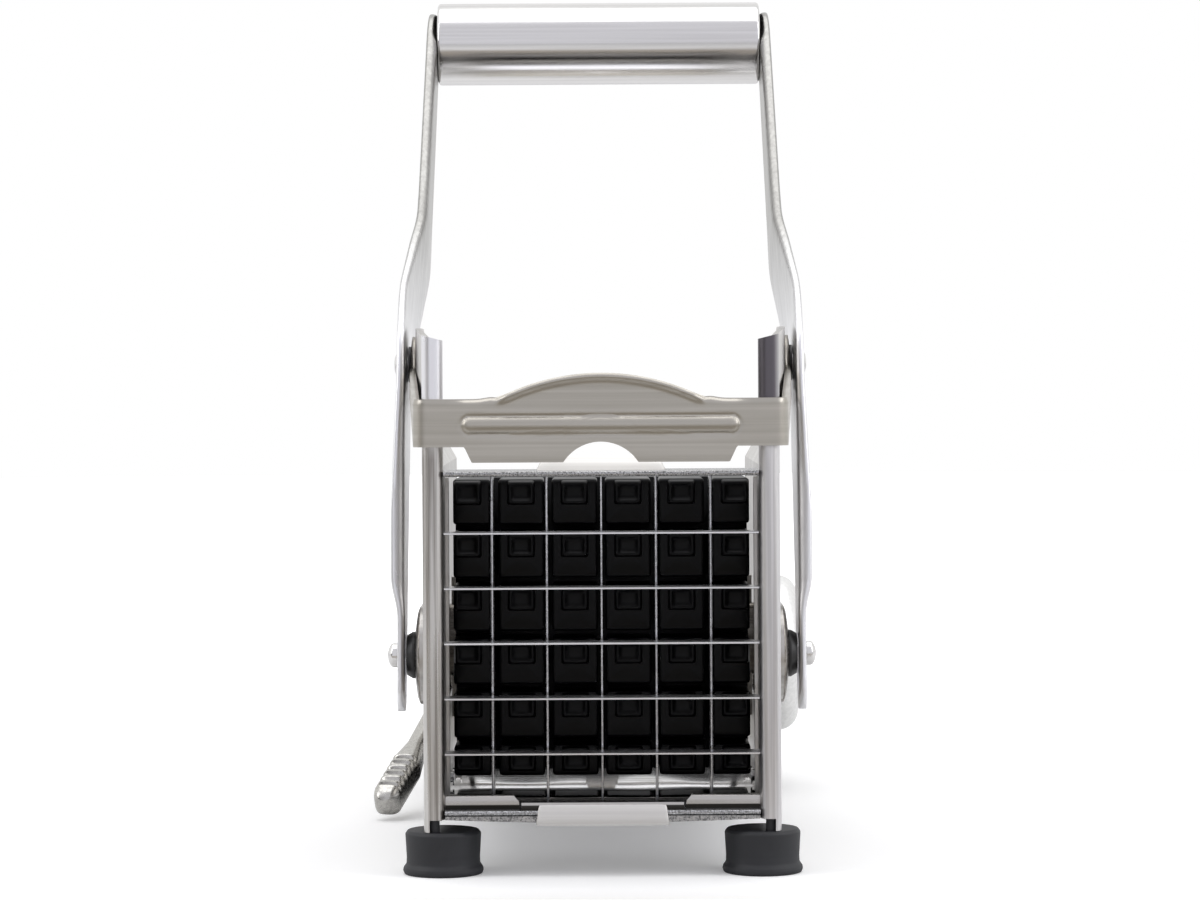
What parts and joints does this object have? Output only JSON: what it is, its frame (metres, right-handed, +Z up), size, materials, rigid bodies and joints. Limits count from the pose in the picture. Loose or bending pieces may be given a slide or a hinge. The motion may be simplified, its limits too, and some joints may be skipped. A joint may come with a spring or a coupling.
{
  "type": "french fry cutter",
  "caption": "Hand lever cutter: a forked lever drives a pegged pusher along a steel chute and presses a potato through a square grid of blades; suction base.",
  "frame": {"origin": "centre of the suction pad's face on the table", "axes": "+X to the right seen from the blades, +Y from the blades to the rear, +Z up"},
  "size_m": [0.1145, 0.2367, 0.2183],
  "materials": {
    "brushed_sheet": "stainless sheet, fine brushed",
    "bright_steel": "stainless, polished",
    "blade_steel": "stainless strip, bright",
    "black_plastic": "satin black",
    "black_nylon": "matt black",
    "black_rubber": "matt",
    "black_steel": "black coated rod",
    "cast_metal": "plated die casting",
    "satin_metal": "satin"
  },
  "bodies": {
    "frame": {"left_side_plate": "brushed_sheet", "right_side_plate": "brushed_sheet", "chute_floor": "brushed_sheet", "front_cross_member": "brushed_sheet", "rear_deck": "brushed_sheet", "rear_tie_rod": "black_steel", "tie_rod_nuts": "bright_steel", "frame_rivets": "bright_steel", "blade_rails": "brushed_sheet", "blade_frame": "blade_steel", "horizontal_blades": "blade_steel", "vertical_blades": "blade_steel", "pivot_pins": "bright_steel", "pivot_spacers": "black_nylon", "left_foot": "black_rubber", "right_foot": "black_rubber", "foot_studs": "black_rubber", "suction_pad": "black_rubber", "suction_housing": "black_nylon", "deck_screws": "bright_steel", "cam_bushings": "black_nylon"},
    "lever": {"left_lever_arm": "brushed_sheet", "right_lever_arm": "brushed_sheet", "handle_tube": "bright_steel", "handle_rod": "bright_steel"},
    "pusher": {"pusher_block": "black_plastic", "pusher_bracket": "brushed_sheet", "pusher_screws": "bright_steel", "guide_shoes": "brushed_sheet", "pusher_shaft": "bright_steel", "cone_spacers": "black_nylon", "dish_washers": "brushed_sheet", "shaft_nuts": "bright_steel"},
    "gate": {"blade_gate": "brushed_sheet"},
    "suction_lever": {"suction_lever": "cast_metal", "cam_shaft": "bright_steel", "cam_cap": "satin_metal"},
    "suction_stem": {"suction_stem": "bright_steel"}
  },
  "joints": [
    {"name": "lever_pivot", "type": "hinge", "parent": "frame", "child": "lever", "pos_m": [0, -0.096, 0.118], "axis": [1, 0, 0], "range_deg": [-16.3, 43.7]},
    {"name": "pusher_slide", "type": "slide", "parent": "frame", "child": "pusher", "axis": [0, 1, 0], "range_m": [-0.022, 0.0589]},
    {"name": "gate_pivot", "type": "hinge", "parent": "frame", "child": "gate", "pos_m": [0, -0.096, 0.118], "axis": [-1, 0, 0], "range_deg": [0, 65]},
    {"name": "suction_cam", "type": "hinge", "parent": "frame", "child": "suction_lever", "pos_m": [0, 0, 0.0374], "axis": [-1, 0, 0], "range_deg": [0, 120]},
    {"name": "stem_lift", "type": "slide", "parent": "frame", "child": "suction_stem", "axis": [0, 0, 1], "range_m": [0, 0.00455]}
  ],
  "couplings": [
    {"joint": "pusher_slide", "follows": "lever_pivot", "m_per_rad": 0.077},
    {"joint": "stem_lift", "follows": "suction_cam", "m_per_rad": 0.0021502}
  ]
}
